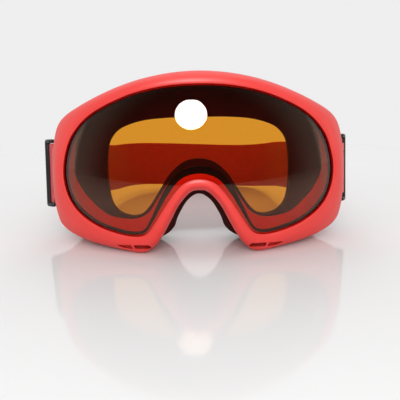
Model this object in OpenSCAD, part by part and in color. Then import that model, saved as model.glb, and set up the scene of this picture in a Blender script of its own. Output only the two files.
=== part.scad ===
// Snow goggles: a soft moulded frame with a domed double lens, a face foam,
// hinged strap arms and an elastic strap with two sliders.
// X is to the right, the lens looks along -Y, Z is up and the table is at Z = 0.
// The origin is on the table, on the plane of symmetry, below the front of the lens.
// The pieces are drawn upright, and all but the back of the strap then lean back together.

/* [Frame] */
// Width of the moulded frame
frame_w = 180; // [165:1:195]
// Height of the moulded frame
frame_h = 103; // [96:0.5:110]
// Thickness of the frame's outer wall
wall_t = 2.2; // [1.6:0.1:3]
// How far the bezel stands in front of the lens
bezel_proud = 2; // [1.4:0.1:2.8]
// Depth of the groove that holds the rim of the outer lens
groove_d = 2.4; // [2:0.1:3]
// Thickness of the rear flange
flange_t = 2.4; // [1.8:0.1:3]
// Depth of the fine step that runs round the outside of the frame
step_d = 0.9; // [0.5:0.1:1.2]
// How far the goggles lean back on the table, in degrees
lean = 8; // [0:0.5:8]

/* [Lens] */
// Radius of the sphere that the outer lens is part of
lens_r = 116; // [112:1:125]
// Height of that sphere's centre above the lower lobes
lens_z = 47.5; // [44:0.5:52]
// Thickness of the outer lens
lens_t = 1.2; // [0.8:0.1:1.5]
// Thickness of the inner lens
inner_lens_t = 0.8; // [0.6:0.1:1.2]
// Air gap between the two lenses, filled at the rim by the spacer
lens_gap = 4; // [3:0.5:5]
// Width of the spacer over the nose
spacer_w = 4; // [3:0.5:5]
// Width of the spacer round the rest of the inner lens
spacer_rim_w = 1.3; // [1:0.1:2]

/* [Face side] */
// Depth of the flange behind the front of the lens, at the plane of symmetry
flange_y = 36; // [34:1:40]
// Radius of the curve that the flange and the foam follow round the face
face_r = 140; // [125:5:170]
// Thickness of the firm foam layer on the flange
foam_base_t = 8; // [5:0.5:10]
// Thickness of the soft foam layer
foam_soft_t = 8; // [5:0.5:10]
// Thickness of the fleece that touches the face
fleece_t = 1.5; // [1:0.1:2]

/* [Vents] */
// Length of a vent slot in the top wall
top_vent_l = 11; // [8:0.5:13]
// Width of a vent slot in the top wall
top_vent_w = 3.4; // [2.5:0.1:4.5]
// Thickness of the thin foam strip behind the top vents
vent_foam_t = 3; // [2:0.25:4]

/* [Strap arms] */
// Height of the middle of the strap arms and clips above the lower lobes
clip_z = 45; // [42:0.5:48]
// How far the hinge pins stand outside the frame's half width
pin_out = 0.5; // [0:0.25:2]
// Distance of the hinge pins behind the rear of the frame's side wall
pin_back = 6.4; // [6:0.2:8]
// Radius of a hinge pin
pin_r = 1.2; // [0.9:0.05:1.4]
// Outer radius of the arm's barrel and of the frame's lugs
barrel_r = 2.8; // [2.5:0.1:3.2]
// Length of an arm, from its pin to the clip's rod
arm_l = 9.7; // [9:0.1:12]
// Thickness of an arm's plate
arm_t = 2.4; // [1.8:0.1:2.8]
// Left arm at rest: angle out from straight back
left_rest = 42; // [10:1:80]
// Right arm at rest: angle out from straight back
right_rest = 25; // [5:1:80]

/* [Strap] */
// Width of the elastic strap
strap_w = 36; // [30:1:40]
// Thickness of the elastic strap
strap_t = 1.6; // [1.2:0.1:2]
// Radius of the clip's front rod
rod_r = 1.75; // [1.4:0.05:2]
// Radius of the clip's rear bar, which the strap turns round
bar_r = 1.3; // [1.1:0.1:1.6]
// Distance of the rear bar behind the rod
bar_back = 8; // [7.5:0.25:9.5]
// Thickness of the clip's top and bottom legs
leg_t = 2.4; // [1.8:0.1:3]
// Distance of the left slider from its clip
left_slider_u = 58; // [50:1:66]
// Distance of the right slider from its clip
right_slider_u = 54; // [50:1:66]
// Radius of a slider's centre bar
slider_bar_r = 1.2; // [1:0.1:1.5]
// Length of a slider along the strap
slider_l = 16; // [14:0.5:18]
// Thickness of a slider's rails
rail_t = 2.2; // [1.6:0.1:3]

/* [Hidden] */
// Clearances
lens_clear = 0.15;
glue_gap = 0.05;
foam_gap = 0.12;
seat_gap = 0.3;
run_clear = 0.05;
pin_seat_clear = 0.02;
strap_clear = 0.25;

// The half outlines run from the top centre, round the right side, to the nose.
// They were drawn for a frame of this width and height.
drawn_w = 180;
drawn_h = 103;
frame_half = [[0, 103], [22, 101.2], [44, 96], [68.8, 86.3], [83.8, 77.4], [88.6, 64],
    [90, 42], [88.6, 22], [84, 11.8], [69, 5.4], [47, 1], [33, -0.6],
    [25.4, 4.2], [20.4, 11.2], [15.6, 20], [11.4, 27.8], [5.2, 34.8], [0, 36.2]];
lens_half = [[0, 94.8], [20.5, 93.6], [41, 89], [61.5, 79.8], [73, 69], [78.2, 57.5],
    [80, 44.5], [77.2, 32], [70.2, 22.6], [59, 15.4], [46, 11.2], [36, 10],
    [30, 11.8], [25.4, 17.4], [20.6, 24.8], [15.6, 32.2], [8.6, 40], [0, 42.4]];
rim_half = [[0, 95], [20.5, 93.4], [40.9, 88.6], [62.8, 81], [74, 69.4], [77, 57],
    [78, 45], [72.6, 34], [64.6, 25.6], [55.6, 19.2], [45.2, 17], [37.2, 17.4],
    [30.6, 21], [26, 27.4], [21.4, 34.2], [15.8, 41.6], [8.4, 47], [0, 48.6]];
foam_half = [[0, 97.4], [21, 95.8], [41.5, 91], [63.5, 82], [75.5, 73.4], [79.3, 62],
    [80, 43], [78.7, 25], [75, 15.6], [65, 10], [47, 6], [33.4, 4.4],
    [25.6, 5.4], [20, 7.6], [15.4, 12], [12.8, 18.6], [7, 28], [0, 32]];
face_half = [[0, 78], [17, 78], [34, 76.6], [47, 72.6], [53.5, 66.5], [56, 58.5],
    [56.6, 46], [55.8, 35], [53.6, 26], [48.6, 20.4], [41.5, 18.2], [35.5, 19.4],
    [31, 23.4], [27, 29], [22.6, 36], [17, 44.4], [9, 51], [0, 53]];
steps = 3;

function unit(v) = v / norm(v);
function reversed(p) = [for (i = [len(p) - 1 : -1 : 0]) p[i]];
function drawn(half) = [for (p = half) [p[0] * frame_w / drawn_w, p[1] * frame_h / drawn_h]];
function mirrored(half) =
    concat(half, [for (i = [len(half) - 2 : -1 : 1]) [-half[i][0], half[i][1]]]);
function spline(a, b, c, d, t) =
    0.5 * (2 * b + (c - a) * t + (2 * a - 5 * b + 4 * c - d) * t * t
        + (3 * b - a - 3 * c + d) * t * t * t);
function on_loop(p, t) =
    let (n = len(p), i = floor(t))
    spline(p[(i + n - 1) % n], p[i % n], p[(i + 1) % n], p[(i + 2) % n], t - i);
function smooth(p) = [for (i = [0 : len(p) * steps - 1]) on_loop(p, i / steps)];

frame_pts = mirrored(drawn(frame_half));
frame_line = smooth(frame_pts);
lens_line = smooth(mirrored(drawn(lens_half)));
rim_line = smooth(mirrored(drawn(rim_half)));
foam_line = smooth(mirrored(drawn(foam_half)));
face_line = smooth(mirrored(drawn(face_half)));
stations = len(frame_line);

// Unit vectors in the front view from the lens edge out to the frame's outline
outward = [for (i = [0 : stations - 1]) unit(frame_line[i] - lens_line[i])];

// Depth of the sphere parallel to the lens and this far in front of it
function dome_y(p, front) =
    lens_r - sqrt(pow(lens_r + front, 2) - p[0] * p[0] - pow(p[1] - lens_z, 2));
// Depth of the flange's rear face
function face_y(p) = flange_y + p[0] * p[0] / (2 * face_r);

// A line moved in from itself, towards the middle of the lens
function inset(line, d) = [for (i = [0 : stations - 1]) line[i] - outward[i] * d];
// The same, by more over the nose: 0 at the lens's lowest corners, all of it at the nose
nose_reach = 15;
nose_at = stations / 2;
function nose_share(i) =
    abs(i - nose_at) > nose_reach ? 0
        : (lens_line[i][1] - lens_line[nose_at - nose_reach][1])
            / (lens_line[nose_at][1] - lens_line[nose_at - nose_reach][1]);
function inset_nose(line, d, more) =
    [for (i = [0 : stations - 1]) line[i] - outward[i] * (d + more * nose_share(i))];
function between(a, b, t) = [for (i = [0 : stations - 1]) a[i] + (b[i] - a[i]) * t];
// A line of the front view laid on a sphere, on the face curve, or behind the outline
function on_dome(line, front) = [for (p = line) [p[0], dome_y(p, front), p[1]]];
function on_face(line, back) = [for (p = line) [p[0], face_y(p) + back, p[1]]];
function behind(line, back) =
    [for (i = [0 : stations - 1]) [line[i][0], dome_y(frame_line[i], 0) + back, line[i][1]]];

// A closed band with the given rings, each ring a closed line of stations.
// The closing row of faces is split the other way, so that a band whose front lies on
// another band's back has the same facets there.
module band(rings) {
    n = len(rings[0]);
    k = len(rings);
    polyhedron(
        points = [for (r = rings) for (p = r) p],
        faces = [for (j = [0 : k - 1]) for (i = [0 : n - 1])
            let (a = j * n + i, b = j * n + (i + 1) % n,
                c = ((j + 1) % k) * n + (i + 1) % n, d = ((j + 1) % k) * n + i)
            each j < k - 1 ? [[a, c, b], [a, d, c]] : [[a, d, b], [b, d, c]]]);
}

// A bar through the given sections, each section a closed list of points
module bar(sections) {
    n = len(sections);
    k = len(sections[0]);
    last = (n - 1) * k;
    polyhedron(
        points = [for (s = sections) for (p = s) p],
        faces = concat(
            [for (i = [0 : n - 2]) for (j = [0 : k - 1])
                let (a = i * k + j, b = i * k + (j + 1) % k,
                    c = (i + 1) * k + (j + 1) % k, d = (i + 1) * k + j)
                each [[a, b, c], [a, c, d]]],
            [for (j = [1 : k - 2]) [0, j + 1, j]],
            [for (j = [1 : k - 2]) [last, last + j, last + j + 1]]));
}

// A front view outline run straight back through the whole depth of the lens
lens_reach = 80;
module prism(line) {
    translate([0, lens_reach, 0])
        rotate([90, 0, 0])
        linear_extrude(height = lens_reach + bezel_proud)
        polygon(line);
}
module shell(front, back) {
    translate([0, lens_r, lens_z])
        difference() {
            sphere(r = lens_r - front, $fn = 96);
            sphere(r = lens_r - back, $fn = 96);
        }
}

// The frame's section, ring by ring
lip_front = 1.2;
lip_round = 1.6;
bezel_middle = 0.55;
bezel_edge_front = 0.5;
edge_back = 2.5;
step_back = 7;
step_l = 0.6;
side_back = 10;
flange_in = 3;
waist = 1;
shelf_in = 0.9;
shelf_nose = 1.9;
shelf_t = 1.8;
shelf_root = 1.5;
edge_in = 0.3;
wall_draft = 0.7;
flange_root = 0.8;
lens_back = lens_t + lens_clear;
wall_in = step_d + wall_draft;
flange_front = flange_t + flange_root;
shelf_line = inset_nose(lens_line, shelf_in, shelf_nose);
frame_rings = [
    on_dome(lens_line, lip_front),
    on_dome(inset(lens_line, -lip_round), bezel_proud),
    on_dome(between(lens_line, frame_line, bezel_middle), bezel_proud),
    on_dome(inset(frame_line, lip_round), bezel_edge_front),
    on_dome(frame_line, -edge_back),
    behind(inset(frame_line, edge_in), step_back),
    behind(inset(frame_line, edge_in + step_d), step_back + step_l),
    behind(inset(frame_line, wall_in), side_back),
    on_face(inset(frame_line, flange_in + waist), -flange_front),
    on_face(inset(frame_line, flange_in), -flange_t),
    on_face(inset(frame_line, flange_in), 0),
    each [for (t = [0.25, 0.6]) on_face(between(inset(frame_line, flange_in), rim_line, t), 0)],
    on_face(rim_line, 0),
    on_face(rim_line, -flange_t),
    on_face(inset(frame_line, flange_in + waist + wall_t), -flange_front),
    on_dome(inset(frame_line, wall_in + wall_t), -lens_back - shelf_t - shelf_root),
    on_dome(shelf_line, -lens_back - shelf_t),
    on_dome(shelf_line, -lens_back),
    on_dome(inset(lens_line, -groove_d), -lens_back),
    on_dome(inset(lens_line, -groove_d), lens_clear),
    on_dome(lens_line, lens_clear)];

// The lean turns about the front of the lens and sets the frame's lowest edge below the
// table by this much, which is then cut flat.
foot_cut = 0.6;
function turned_z(p) = (p[2] - lens_z) * cos(lean) - p[1] * sin(lean);
rest_z = -foot_cut - min([for (r = frame_rings) for (p = r) turned_z(p)]);
function stood(p) = [p[0], p[1] * cos(lean) + (p[2] - lens_z) * sin(lean), turned_z(p) + rest_z];
module standing() {
    translate([0, 0, rest_z])
        rotate([-lean, 0, 0])
        translate([0, 0, -lens_z])
        children();
}

// Vent slots: places along the outline, counted in outline points from the top centre
top_vent_at = [0.45, 1.35, 2.2, 2.95];
vent_cut = 16;
module stadium(l, w) {
    square([l - w, w], center = true);
    for (side = [-1, 1])
        translate([side * (l - w) / 2, 0])
            circle(d = w, $fn = 32);
}
module top_vent_cut(t) {
    p = on_loop(frame_pts, t);
    q = on_loop(frame_pts, t + 0.05);
    slope = atan2(q[1] - p[1], q[0] - p[0]);
    middle_y = (dome_y(p, 0) + side_back + face_y(p) - flange_front) / 2;
    translate([p[0], middle_y, p[1]])
        rotate([0, -slope, 0])
        translate([0, 0, -vent_cut / 2])
        linear_extrude(height = vent_cut)
        stadium(top_vent_l, top_vent_w);
}

// The two slots in each lower lobe, in the front view
lower_slots = [
    [[27.6, 2.8], [37, 2.6], [38.2, 5], [28.8, 5.3]],
    [[38.2, 2.6], [43.5, 2.8], [48.4, 4.7], [39.4, 5.1]]];
slot_front = 5;
slot_depth = 22;
module lower_slot_cuts() {
    for (slot = lower_slots)
        translate([0, slot_depth, 0])
            rotate([90, 0, 0])
            linear_extrude(height = slot_depth + slot_front)
            polygon(drawn(slot));
}

// The hinge lugs on the frame's sides, one above and one below the arm's barrel
pin_x = frame_w / 2 + pin_out;
pin_y = dome_y([frame_w / 2, clip_z], 0) + side_back + pin_back;
arm_over = 2;
arm_h = strap_w + arm_over;
barrel_h = 21;
lug_h = 5;
lug_z = barrel_h / 2 + seat_gap;
lug_root = 6;
lug_front = 9;
lug_cheek = 7;
lug_rear = 2;
bore_over = 1;
module lug(low) {
    translate([pin_x, pin_y, clip_z + low])
        linear_extrude(height = lug_h)
        union() {
            circle(r = barrel_r, $fn = 48);
            polygon([[-lug_root, -lug_front], [-pin_r, -lug_cheek], [barrel_r, 0], [0, barrel_r],
                [-barrel_r, 0], [-lug_root, -lug_rear]]);
        }
}
module lug_bore() {
    translate([pin_x, pin_y, clip_z])
        cylinder(r = pin_r + pin_seat_clear, h = 2 * (lug_z + lug_h + bore_over),
            center = true, $fn = 48);
}

module frame() {
    color([0.93, 0.33, 0.30])
        difference() {
            standing()
                difference() {
                    union() {
                        band(frame_rings);
                        for (side = [0, 1])
                            mirror([side, 0, 0]) {
                                lug(lug_z);
                                lug(-lug_z - lug_h);
                            }
                    }
                    for (side = [0, 1])
                        mirror([side, 0, 0]) {
                            for (t = top_vent_at) top_vent_cut(t);
                            lower_slot_cuts();
                            lug_bore();
                        }
                }
            translate([-frame_w, -frame_w / 2, -frame_w])
                cube([2 * frame_w, frame_w, frame_w]);
        }
}

// Lenses
rim_clear = 0.4;
spacer_line = inset_nose(lens_line, shelf_in + seat_gap, shelf_nose);
spacer_edge = inset_nose(lens_line, shelf_in + seat_gap + spacer_rim_w,
    shelf_nose + spacer_w - spacer_rim_w);
inner_front = lens_t + lens_gap + 2 * glue_gap;
module outer_lens() {
    color([0.85, 0.45, 0.08, 0.6])
        standing()
        intersection() {
            prism(inset(lens_line, rim_clear - groove_d));
            shell(0, lens_t);
        }
}
module lens_spacer() {
    color([0.07, 0.06, 0.06])
        standing()
        intersection() {
            difference() {
                prism(spacer_line);
                prism(spacer_edge);
            }
            shell(lens_t + glue_gap, lens_t + glue_gap + lens_gap);
        }
}
module inner_lens() {
    color([0.9, 0.8, 0.65, 0.35])
        standing()
        intersection() {
            prism(spacer_line);
            shell(inner_front, inner_front + inner_lens_t);
        }
}

// Thin foam strips on the inner side of the vented walls.
// A share of 0 is at the front of the inner wall, 1 at the flange.
top_strip = [0.2, 0.8];
lower_strip = [0.05, 0.45];
function wall_point(i, share, lift) =
    let (a = frame_line[i] - outward[i] * (wall_in + wall_t),
        b = frame_line[i] - outward[i] * (flange_in + waist + wall_t),
        ay = dome_y(a, -lens_back - shelf_t - shelf_root),
        by = face_y(b) - flange_front,
        p = a + (b - a) * share - outward[i] * lift)
    [p[0], ay + (by - ay) * share, p[1]];
function strip_section(i, share, thick) = [
    wall_point(i, share[0], seat_gap),
    wall_point(i, share[1], seat_gap),
    wall_point(i, share[1], seat_gap + thick),
    wall_point(i, share[0], seat_gap + thick)];
top_strip_end = 11;
lower_strip_ends = [29, 36];
lower_strip_t = vent_foam_t / 2;
module top_vent_foam() {
    color([0.12, 0.11, 0.11])
        standing()
        bar([for (i = [-top_strip_end : top_strip_end])
            strip_section((i + stations) % stations, top_strip, vent_foam_t)]);
}
module lower_vent_foam() {
    color([0.12, 0.11, 0.11])
        standing()
        bar([for (i = [lower_strip_ends[0] : lower_strip_ends[1]])
            strip_section(i, lower_strip, lower_strip_t)]);
}
module right_lower_vent_foam() { lower_vent_foam(); }
module left_lower_vent_foam() { mirror([1, 0, 0]) lower_vent_foam(); }

// Face foam: rings from the flange back to the face. The soft layers draw in from both
// edges, by these shares of the foam's width.
soft_draw = 0.09;
fleece_draw = 0.16;
soft_front = foam_base_t + 2 * foam_gap;
fleece_front = soft_front + foam_soft_t + foam_gap;
function foam_rings(front, back, front_in, back_in) = [
    on_face(between(foam_line, face_line, front_in), front),
    on_face(between(foam_line, face_line, back_in), back),
    on_face(between(face_line, foam_line, back_in), back),
    on_face(between(face_line, foam_line, front_in), front)];
module face_foam_base() {
    color([0.16, 0.10, 0.08])
        standing()
        band(foam_rings(foam_gap, foam_gap + foam_base_t, 0, 0));
}
module face_foam_soft() {
    color([0.20, 0.12, 0.10])
        standing()
        band(foam_rings(soft_front, soft_front + foam_soft_t, 0, soft_draw));
}
module face_fleece() {
    color([0.10, 0.08, 0.08])
        standing()
        band(foam_rings(fleece_front, fleece_front + fleece_t, soft_draw, fleece_draw));
}

// Strap arms: u runs along the arm from its pin, v across it towards the head.
// The plate lies plate_in behind the pin's middle, so that the rod shows beside it.
arm_start = 3.4;
rod_gap = 0.2;
arm_end = arm_l - rod_r - rod_gap;
plate_in = 1;
arm_cut_z = 3;
arm_cut_u = 1.5;
neck_in = 1;
neck_h = barrel_h - 2 * neck_in;
arm_side = [[0, neck_h / 2], [arm_start, neck_h / 2], [arm_start, arm_h / 2 - arm_cut_z],
    [arm_start + arm_cut_u, arm_h / 2], [arm_end, arm_h / 2]];
module on_right(rest) {
    standing()
        translate([pin_x, pin_y, clip_z])
        rotate([0, 0, 90 - rest])
        children();
}
module arm_shape() {
    color([0.80, 0.28, 0.27])
        difference() {
            union() {
                cylinder(r = barrel_r, h = barrel_h, center = true, $fn = 48);
                translate([0, arm_t / 2 + plate_in, 0])
                    rotate([90, 0, 0])
                    linear_extrude(height = arm_t)
                    polygon(concat(arm_side, [for (p = reversed(arm_side)) [p[0], -p[1]]]));
            }
            cylinder(r = pin_r + run_clear, h = arm_h, center = true, $fn = 48);
        }
}
module right_outrigger_arm() { on_right(right_rest) arm_shape(); }
module left_outrigger_arm() { mirror([1, 0, 0]) on_right(left_rest) arm_shape(); }

// Hinge pins, pressed into the lugs
module right_hinge_pin() {
    color([0.62, 0.62, 0.64])
        standing()
        translate([pin_x, pin_y, clip_z])
        cylinder(r = pin_r, h = 2 * (lug_z + lug_h), center = true, $fn = 48);
}
module left_hinge_pin() { mirror([1, 0, 0]) right_hinge_pin(); }

// Strap clips: a front rod along the arm's edge, two legs and a rear bar for the strap
bar_in = 1;
leg_z = arm_h / 2 + seat_gap;
hook_u = 5.2;
clip_h = 2 * (leg_z + leg_t);
module clip_leg() {
    linear_extrude(height = leg_t)
        union() {
            translate([hook_u, -rod_r])
                square([arm_l - hook_u, 2 * rod_r]);
            for (p = [[hook_u, 0], [arm_l, 0]])
                translate(p)
                    circle(r = rod_r, $fn = 32);
            translate([arm_l - bar_in, bar_back])
                circle(r = bar_r, $fn = 32);
            polygon([[arm_l + rod_r, 0], [arm_l - bar_in + bar_r, bar_back],
                [arm_l - bar_in - bar_r, bar_back], [arm_l - bar_in - rod_r, 0]]);
        }
}
// Rounding of the clip's outer corners, seen from the front
corner_r = leg_t;
corner_out = 0.05;
module clip_corner() {
    u = arm_l + rod_r;
    z = clip_h / 2;
    rotate([90, 0, 0])
        linear_extrude(height = 2 * clip_h, center = true)
        polygon(concat(arc([u - corner_r + corner_out, z - corner_r], corner_r, 0, 90),
            [[u - corner_r + corner_out, z + 1], [u + 1, z + 1], [u + 1, z - corner_r]]));
}
module clip_shape() {
    color([0.10, 0.09, 0.10])
        difference() {
            union() {
                translate([arm_l, 0, 0])
                    cylinder(r = rod_r, h = clip_h, center = true, $fn = 48);
                translate([arm_l - bar_in, bar_back, 0])
                    cylinder(r = bar_r, h = clip_h, center = true, $fn = 48);
                translate([0, 0, leg_z])
                    clip_leg();
                translate([0, 0, -leg_z - leg_t])
                    clip_leg();
            }
            clip_corner();
            mirror([0, 0, 1]) clip_corner();
        }
}
module right_strap_clip() { on_right(right_rest) clip_shape(); }
module left_strap_clip() { mirror([1, 0, 0]) on_right(left_rest) clip_shape(); }

// The strap's two straight stretches start at the rear bars: u runs back along
// the stretch, v across it towards the head.
stretch_l = 100;
function bar_place(rest) =
    let (turn = 90 - rest, u = arm_l - bar_in, v = bar_back)
    [pin_x + u * cos(turn) - v * sin(turn), pin_y + u * sin(turn) + v * cos(turn)];
right_bar = bar_place(right_rest);
left_bar = [-bar_place(left_rest)[0], bar_place(left_rest)[1]];
right_aim = unit([-0.256, 0.967]);
left_aim = unit([0.278, 0.961]);
right_in = [-right_aim[1], right_aim[0]];
left_in = [left_aim[1], -left_aim[0]];
turn_r = bar_r + strap_clear + strap_t / 2;
slider_turn_r = slider_bar_r + strap_clear + strap_t / 2;
slider_v = strap_t + 2 * strap_clear + strap_t / 2 + slider_bar_r - turn_r;
turn_steps = 8;
hem = 16;
hem_gap = 0.1;
hem_drop = 0.5;
tail_drop = 0.3;

// A point of a stretch: u along it, v towards the head
function stretch_point(at, aim, inner, q) =
    [at[0] + aim[0] * q[0] + inner[0] * q[1], at[1] + aim[1] * q[0] + inner[1] * q[1], clip_z];
function arc(c, r, from, to) =
    [for (i = [0 : turn_steps])
        let (a = from + (to - from) * i / turn_steps) [c[0] + r * cos(a), c[1] + r * sin(a)]];
// The strap's end: sewn hem, turn round the slider's bar, back to the clip, turn, straight
function strap_end(u) =
    let (tail_v = slider_v + slider_turn_r, hem_v = tail_v - strap_t - hem_gap - hem_drop)
    concat(
        [[u - hem, hem_v], [u - hem / 2, hem_v + tail_drop], [u - hem / 4, slider_v - slider_bar_r]],
        arc([u, slider_v], slider_turn_r, -90, 90),
        [[u - hem / 2, tail_v - tail_drop], [u / 3, turn_r + hem_drop]],
        arc([0, 0], turn_r, 90, 270),
        [[stretch_l / 4, -turn_r], [stretch_l / 2, -turn_r], [stretch_l * 3 / 4, -turn_r]]);
left_end = [for (q = strap_end(left_slider_u))
    stood(stretch_point(left_bar, left_aim, left_in, q))];
right_end = [for (q = strap_end(right_slider_u))
    stood(stretch_point(right_bar, right_aim, right_in, q))];

// The strap's free back: points in the top view, and how far its lower edge is off the table
back_points = [[-58.5, 181, 5.2], [-47, 193, 4], [-26, 199, 2.6], [2, 199.5, 1.3],
    [27, 197.5, 0.4], [46, 192, 1], [57, 181, 3.2]];
back_steps = 4;
back_run = concat(
    [left_end[len(left_end) - 1]],
    [stood(stretch_point(left_bar, left_aim, left_in, [stretch_l, -turn_r]))],
    [for (p = back_points) [p[0], p[1], p[2] + strap_w / 2]],
    [stood(stretch_point(right_bar, right_aim, right_in, [stretch_l, -turn_r]))],
    [right_end[len(right_end) - 1]]);
back_line = concat(
    [for (i = [1 : len(back_run) - 3]) for (j = [0 : back_steps - 1])
        spline(back_run[i - 1], back_run[i], back_run[i + 1], back_run[i + 2], j / back_steps)],
    [back_run[len(back_run) - 2]]);
strap_line = concat(left_end, back_line, reversed(right_end));
function run_at(i) =
    let (n = len(strap_line))
    unit(strap_line[min(i + 1, n - 1)] - strap_line[max(i - 1, 0)]);
end_up = [0, sin(lean), cos(lean)];
strap_up = concat(
    [for (p = left_end) end_up],
    [for (i = [0 : len(back_line) - 1])
        let (d = run_at(len(left_end) + i)) unit([0, 0, 1] - d * d[2])],
    [for (p = right_end) end_up]);

module strap() {
    color([0.80, 0.12, 0.10])
        bar([for (i = [0 : len(strap_line) - 1])
            let (p = strap_line[i],
                d = run_at(i),
                side = unit(cross(strap_up[i], d)) * strap_t / 2,
                up = strap_up[i] * strap_w / 2)
            [p + side - up, p - side - up, p - side + up, p + side + up]]);
}

// Sliders: a centre bar on the head side of the strap, two end bars outside it
end_bar_l = 3.2;
end_bar_t = 1.8;
end_bar_v = -turn_r - strap_t / 2 - strap_clear - end_bar_t;
rail_clear = 0.4;
rail_z = strap_w / 2 + rail_clear;
slider_h = 2 * (rail_z + rail_t);
rail_half = [[slider_l / 2, end_bar_v], [slider_l / 2, end_bar_v + end_bar_t],
    [slider_bar_r * 2, slider_v + slider_bar_r]];
module slider_shape() {
    color([0.10, 0.09, 0.10])
        union() {
            translate([0, slider_v, 0])
                cylinder(r = slider_bar_r, h = slider_h, center = true, $fn = 48);
            for (u = [-slider_l / 2, slider_l / 2 - end_bar_l])
                translate([u, end_bar_v, -slider_h / 2])
                    cube([end_bar_l, end_bar_t, slider_h]);
            for (low = [rail_z, -rail_z - rail_t])
                translate([0, 0, low])
                    linear_extrude(height = rail_t)
                    polygon(concat(rail_half, [for (p = reversed(rail_half)) [-p[0], p[1]]]));
        }
}
module right_slider() {
    standing()
        translate(stretch_point(right_bar, right_aim, right_in, [right_slider_u, 0]))
        rotate([0, 0, atan2(right_aim[1], right_aim[0])])
        slider_shape();
}
module left_slider() {
    standing()
        translate(stretch_point(left_bar, left_aim, left_in, [left_slider_u, 0]))
        rotate([0, 0, atan2(-left_aim[1], -left_aim[0])])
        slider_shape();
}

frame();
outer_lens();
lens_spacer();
inner_lens();
top_vent_foam();
left_lower_vent_foam();
right_lower_vent_foam();
face_foam_base();
face_foam_soft();
face_fleece();
left_outrigger_arm();
right_outrigger_arm();
left_hinge_pin();
right_hinge_pin();
left_strap_clip();
right_strap_clip();
strap();
left_slider();
right_slider();
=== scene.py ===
"""Snow goggles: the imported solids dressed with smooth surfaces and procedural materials.

Lengths are in metres. Outlines and section sizes are drawn in millimetres, as in the part's source,
and scaled once. The goggles are worked out upright and then leaned back by stood().
"""
import math

import bmesh
import bpy
import numpy as np
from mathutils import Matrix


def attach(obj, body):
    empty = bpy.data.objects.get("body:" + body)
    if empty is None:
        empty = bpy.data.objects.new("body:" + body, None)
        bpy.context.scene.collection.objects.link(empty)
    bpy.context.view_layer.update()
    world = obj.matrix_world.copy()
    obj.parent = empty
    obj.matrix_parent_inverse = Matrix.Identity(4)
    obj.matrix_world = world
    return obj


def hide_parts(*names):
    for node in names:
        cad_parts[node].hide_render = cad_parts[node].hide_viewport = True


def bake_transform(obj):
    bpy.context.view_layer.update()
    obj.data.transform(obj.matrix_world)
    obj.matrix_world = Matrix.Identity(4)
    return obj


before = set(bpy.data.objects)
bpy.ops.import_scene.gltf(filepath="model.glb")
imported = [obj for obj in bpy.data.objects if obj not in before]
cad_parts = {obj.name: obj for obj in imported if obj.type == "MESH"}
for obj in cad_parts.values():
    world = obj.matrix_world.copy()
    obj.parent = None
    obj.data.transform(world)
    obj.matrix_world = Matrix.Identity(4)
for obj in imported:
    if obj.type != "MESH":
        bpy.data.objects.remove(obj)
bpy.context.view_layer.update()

MM = 0.001

# Driving sizes
FRAME_W = 180 * MM
LENS_R = 116 * MM
LENS_Z = 47.5 * MM
LENS_T = 1.2 * MM
INNER_LENS_T = 0.8 * MM
LENS_GAP = 4 * MM
SPACER_W = 4 * MM
SPACER_RIM_W = 1.3 * MM
FLANGE_Y = 36 * MM
FACE_R = 140 * MM
LEAN = math.radians(8)
REST_Z = 50.1412 * MM
CLIP_Z = 45 * MM
STRAP_W = 36 * MM
STRAP_T = 1.6 * MM

# Half outlines from the top centre, round the right side, to the nose
FRAME_HALF = MM * np.array([
    [0, 103], [22, 101.2], [44, 96], [68.8, 86.3], [83.8, 77.4], [88.6, 64],
    [90, 42], [88.6, 22], [84, 11.8], [69, 5.4], [47, 1], [33, -0.6],
    [25.4, 4.2], [20.4, 11.2], [15.6, 20], [11.4, 27.8], [5.2, 34.8], [0, 36.2]])
LENS_HALF = MM * np.array([
    [0, 94.8], [20.5, 93.6], [41, 89], [61.5, 79.8], [73, 69], [78.2, 57.5],
    [80, 44.5], [77.2, 32], [70.2, 22.6], [59, 15.4], [46, 11.2], [36, 10],
    [30, 11.8], [25.4, 17.4], [20.6, 24.8], [15.6, 32.2], [8.6, 40], [0, 42.4]])
RIM_HALF = MM * np.array([
    [0, 95], [20.5, 93.4], [40.9, 88.6], [62.8, 81], [74, 69.4], [77, 57],
    [78, 45], [72.6, 34], [64.6, 25.6], [55.6, 19.2], [45.2, 17], [37.2, 17.4],
    [30.6, 21], [26, 27.4], [21.4, 34.2], [15.8, 41.6], [8.4, 47], [0, 48.6]])
FOAM_HALF = MM * np.array([
    [0, 97.4], [21, 95.8], [41.5, 91], [63.5, 82], [75.5, 73.4], [79.3, 62],
    [80, 43], [78.7, 25], [75, 15.6], [65, 10], [47, 6], [33.4, 4.4],
    [25.6, 5.4], [20, 7.6], [15.4, 12], [12.8, 18.6], [7, 28], [0, 32]])
FACE_HALF = MM * np.array([
    [0, 78], [17, 78], [34, 76.6], [47, 72.6], [53.5, 66.5], [56, 58.5],
    [56.6, 46], [55.8, 35], [53.6, 26], [48.6, 20.4], [41.5, 18.2], [35.5, 19.4],
    [31, 23.4], [27, 29], [22.6, 36], [17, 44.4], [9, 51], [0, 53]])
STEPS = 12


# Lines and surfaces

def unit(v):
    """Vectors scaled to length 1 along the last axis."""
    return v / np.linalg.norm(v, axis=-1, keepdims=True)


def smooth_loop(half):
    """Closed line through a half outline and its mirror image: a Catmull-Rom cubic on each span."""
    p = np.vstack([half, half[-2:0:-1] * (-1, 1)])
    a, b, c, d = (np.roll(p, k, axis=0)[:, None] for k in (1, 0, -1, -2))
    t = (np.arange(STEPS) / STEPS)[None, :, None]
    line = b + 0.5 * ((c - a) * t + (2 * a - 5 * b + 4 * c - d) * t**2 + (3 * b - a - 3 * c + d) * t**3)
    return line.reshape(-1, 2)


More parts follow.
